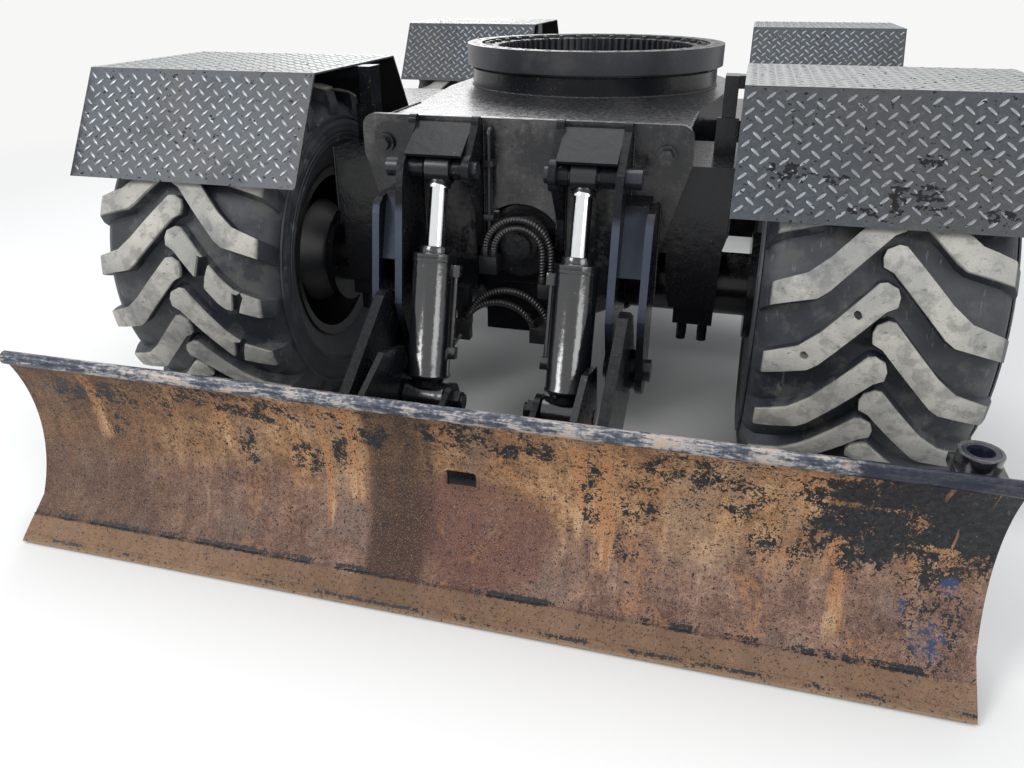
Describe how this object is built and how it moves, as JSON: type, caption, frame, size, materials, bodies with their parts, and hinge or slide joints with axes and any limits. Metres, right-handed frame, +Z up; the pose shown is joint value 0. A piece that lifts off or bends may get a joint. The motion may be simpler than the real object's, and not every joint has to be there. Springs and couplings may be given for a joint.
{
  "type": "wheeled excavator undercarriage",
  "caption": "Undercarriage of a wheeled excavator: chassis with slewing ring, rigid and steered axles with lugged tyres, mudguards, and a dozer blade lifted by cylinders.",
  "frame": {"origin": "on the ground under the middle of the overall length and width", "axes": "+X to the right seen from the blade end, -Y towards the blade, +Z up"},
  "size_m": [2.8, 4.61, 1.2449],
  "materials": {
    "chassis_paint": "gloss black, dusty",
    "blade_steel": "rusty with paint remnants",
    "tyre_rubber": "worn, dusty lugs",
    "checker_plate": "checker plate, dull",
    "chrome_rod": "polished",
    "pin_steel": "plain",
    "rim_paint": "satin black",
    "hose_rubber": "spiral guard",
    "cylinder_paint": "gloss black",
    "ring_steel": "oily dark steel"
  },
  "bodies": {
    "chassis": {"chassis_frame": "chassis_paint", "end_plate": "chassis_paint", "blade_bracket_left": "chassis_paint", "blade_bracket_right": "chassis_paint", "blade_pins": "pin_steel", "slew_race_fixed": "ring_steel", "swivel_joint": "ring_steel", "rigid_axle": "chassis_paint", "travel_gearbox": "chassis_paint", "drive_shaft": "chassis_paint", "mudguard_rigid_left": "checker_plate", "mudguard_rigid_right": "checker_plate", "mudguard_mounts": "chassis_paint", "tool_box_left": "chassis_paint", "tool_box_right": "chassis_paint", "tail_plate": "chassis_paint", "tow_pin": "pin_steel", "blade_hoses": "hose_rubber"},
    "slew_ring": {"slew_race_turning": "ring_steel"},
    "wheel_rigid_left": {"rim_rigid_left": "rim_paint", "tyre_rigid_left": "tyre_rubber"},
    "wheel_rigid_right": {"rim_rigid_right": "rim_paint", "tyre_rigid_right": "tyre_rubber"},
    "steer_axle": {"steering_axle": "chassis_paint"},
    "knuckle_left": {"knuckle_left": "chassis_paint", "mudguard_steer_left": "checker_plate"},
    "knuckle_right": {"knuckle_right": "chassis_paint", "mudguard_steer_right": "checker_plate"},
    "wheel_steer_left": {"rim_steer_left": "rim_paint", "tyre_steer_left": "tyre_rubber"},
    "wheel_steer_right": {"rim_steer_right": "rim_paint", "tyre_steer_right": "tyre_rubber"},
    "tie_rod": {"tie_rod": "pin_steel"},
    "blade": {"moldboard": "blade_steel", "cutting_edge": "blade_steel", "push_arms": "chassis_paint"},
    "cylinder_left": {"barrel_left": "cylinder_paint"},
    "cylinder_right": {"barrel_right": "cylinder_paint"},
    "piston_left": {"rod_left": "chrome_rod"},
    "piston_right": {"rod_right": "chrome_rod"}
  },
  "joints": [
    {"name": "slew", "type": "hinge", "parent": "chassis", "child": "slew_ring", "pos_m": [0, -0.215, 1.205], "axis": [0, 0, 1], "continuous": true},
    {"name": "roll_rigid_left", "type": "hinge", "parent": "chassis", "child": "wheel_rigid_left", "pos_m": [-1.025, -1.165, 0.585], "axis": [1, 0, 0], "continuous": true},
    {"name": "roll_rigid_right", "type": "hinge", "parent": "chassis", "child": "wheel_rigid_right", "pos_m": [1.025, -1.165, 0.585], "axis": [1, 0, 0], "continuous": true},
    {"name": "axle_swing", "type": "hinge", "parent": "chassis", "child": "steer_axle", "pos_m": [0, 1.585, 0.585], "axis": [0, 1, 0], "range_deg": [-7, 7]},
    {"name": "steer_left", "type": "hinge", "parent": "steer_axle", "child": "knuckle_left", "pos_m": [-0.56, 1.585, 0.585], "axis": [0, 0, 1], "range_deg": [-30, 30]},
    {"name": "steer_right", "type": "hinge", "parent": "steer_axle", "child": "knuckle_right", "pos_m": [0.56, 1.585, 0.585], "axis": [0, 0, 1], "range_deg": [-30, 30]},
    {"name": "tie_rod_ball", "type": "hinge", "parent": "knuckle_left", "child": "tie_rod", "pos_m": [-0.56, 1.785, 0.51], "axis": [0, 0, 1], "range_deg": [-30, 30]},
    {"name": "roll_steer_left", "type": "hinge", "parent": "knuckle_left", "child": "wheel_steer_left", "pos_m": [-1.025, 1.585, 0.585], "axis": [1, 0, 0], "continuous": true},
    {"name": "roll_steer_right", "type": "hinge", "parent": "knuckle_right", "child": "wheel_steer_right", "pos_m": [1.025, 1.585, 0.585], "axis": [1, 0, 0], "continuous": true},
    {"name": "blade_lift", "type": "hinge", "parent": "chassis", "child": "blade", "pos_m": [0, -1.505, 0.4], "axis": [-1, 0, 0], "range_deg": [-8, 24]},
    {"name": "foot_left", "type": "hinge", "parent": "blade", "child": "cylinder_left", "pos_m": [-0.215, -1.723, 0.33], "axis": [-1, 0, 0], "range_deg": [-22, 9]},
    {"name": "stroke_left", "type": "slide", "parent": "cylinder_left", "child": "piston_left", "axis": [0, 0.2942, 0.9557], "range_m": [-0.09, 0.03]},
    {"name": "foot_right", "type": "hinge", "parent": "blade", "child": "cylinder_right", "pos_m": [0.215, -1.723, 0.33], "axis": [-1, 0, 0], "range_deg": [-22, 9]},
    {"name": "stroke_right", "type": "slide", "parent": "cylinder_right", "child": "piston_right", "axis": [0, 0.2942, 0.9557], "range_m": [-0.09, 0.03]}
  ],
  "couplings": [
    {"joint": "steer_right", "follows": "steer_left", "ratio": 1},
    {"joint": "tie_rod_ball", "follows": "steer_left", "ratio": -1},
    {"joint": "foot_left", "follows": "blade_lift", "ratio": -0.8355},
    {"joint": "stroke_left", "follows": "blade_lift", "m_per_rad": -0.2005},
    {"joint": "foot_right", "follows": "blade_lift", "ratio": -0.8355},
    {"joint": "stroke_right", "follows": "blade_lift", "m_per_rad": -0.2005}
  ]
}
